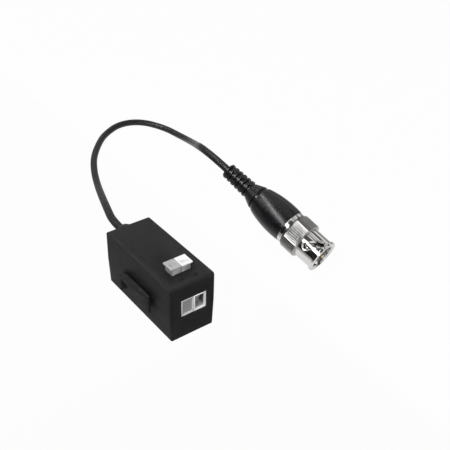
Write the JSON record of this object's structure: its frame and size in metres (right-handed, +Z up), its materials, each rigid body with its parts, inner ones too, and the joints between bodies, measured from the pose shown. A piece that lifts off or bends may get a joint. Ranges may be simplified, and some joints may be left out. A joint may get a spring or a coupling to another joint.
{
  "type": "video balun",
  "caption": "Slim stackable plastic case with a push-button wire terminal pair in front and a short coaxial tail ending in a bayonet plug.",
  "frame": {"origin": "middle of the case's footprint, on the surface that the case stands on", "axes": "+Z up, -Y the way the wire terminals face, +Y the way the cable leaves the case, +X toward the channel side wall"},
  "size_m": [0.0876, 0.1466, 0.0282],
  "materials": {
    "case_plastic": "fine matt moulding grain",
    "board_laminate": "green solder mask, satin",
    "grey_plastic": "satin moulded plastic",
    "pale_grey_plastic": "satin moulded plastic, paler than the button",
    "white_plastic": "satin moulded plastic",
    "nickel_strip": "nickel plated spring strip",
    "ferrite": "dry sintered grey black",
    "enamel_wire": "clear enamel over copper",
    "arrester_coat": "unglazed ceramic",
    "resistor_coat": "lacquer",
    "film_case": "dipped resin",
    "tinned_wire": "tinned copper",
    "cable_jacket": "smooth soft black vinyl with a soft sheen",
    "boot_vinyl": "moulded soft black vinyl, satin",
    "nickel_plate": "bright nickel plate",
    "insulator_plastic": "natural white",
    "gold_plate": "thin gold plate",
    "gasket_rubber": "soft rubber"
  },
  "bodies": {
    "balun": {"housing_shell": "case_plastic", "base_cover": "case_plastic", "circuit_board": "board_laminate", "terminal_pole_left": "pale_grey_plastic", "terminal_pole_right": "white_plastic", "contact_bar_left": "nickel_strip", "contact_bar_right": "nickel_strip", "clamp_spring_left": "nickel_strip", "clamp_spring_right": "nickel_strip", "entry_leaf_left": "nickel_strip", "entry_leaf_right": "nickel_strip", "transformer_core": "ferrite", "transformer_winding": "enamel_wire", "surge_arrester": "arrester_coat", "load_resistor": "resistor_coat", "film_capacitor": "film_case", "cable_gland": "boot_vinyl", "cable_end": "cable_jacket", "core_lead": "tinned_wire", "screen_lead": "tinned_wire", "strain_relief_boot": "boot_vinyl", "plug_body": "nickel_plate", "outer_contact": "nickel_plate", "plug_insulator": "insulator_plastic", "centre_pin": "gold_plate", "face_gasket": "gasket_rubber", "thrust_washer": "nickel_strip", "disc_spring": "nickel_strip", "video_cable": "cable_jacket"},
    "button_left": {"push_button_left": "grey_plastic"},
    "button_right": {"push_button_right": "white_plastic"},
    "nut_carrier": {"retaining_ring": "nickel_strip"},
    "nut": {"coupling_nut": "nickel_plate"}
  },
  "joints": [
    {"name": "press_left", "type": "slide", "parent": "balun", "child": "button_left", "axis": [0, 0, -1], "range_m": [0, 0.0012], "stiffness_N_per_m": 3000, "springref_m": -0.0003, "deforming": ["clamp_spring_left", "entry_leaf_left"]},
    {"name": "press_right", "type": "slide", "parent": "balun", "child": "button_right", "axis": [0, 0, -1], "range_m": [0, 0.0012], "stiffness_N_per_m": 3000, "springref_m": -0.0003, "deforming": ["clamp_spring_right", "entry_leaf_right"]},
    {"name": "nut_draw", "type": "slide", "parent": "balun", "child": "nut_carrier", "axis": [0.1765, -0.9217, -0.3453], "range_m": [0, 0.0008], "stiffness_N_per_m": 4000, "springref_m": -0.0005, "deforming": ["disc_spring"]},
    {"name": "nut_turn", "type": "hinge", "parent": "nut_carrier", "child": "nut", "pos_m": [0.05762, -0.01281, 0.00901], "axis": [0.1765, -0.9217, -0.3453], "continuous": true}
  ]
}
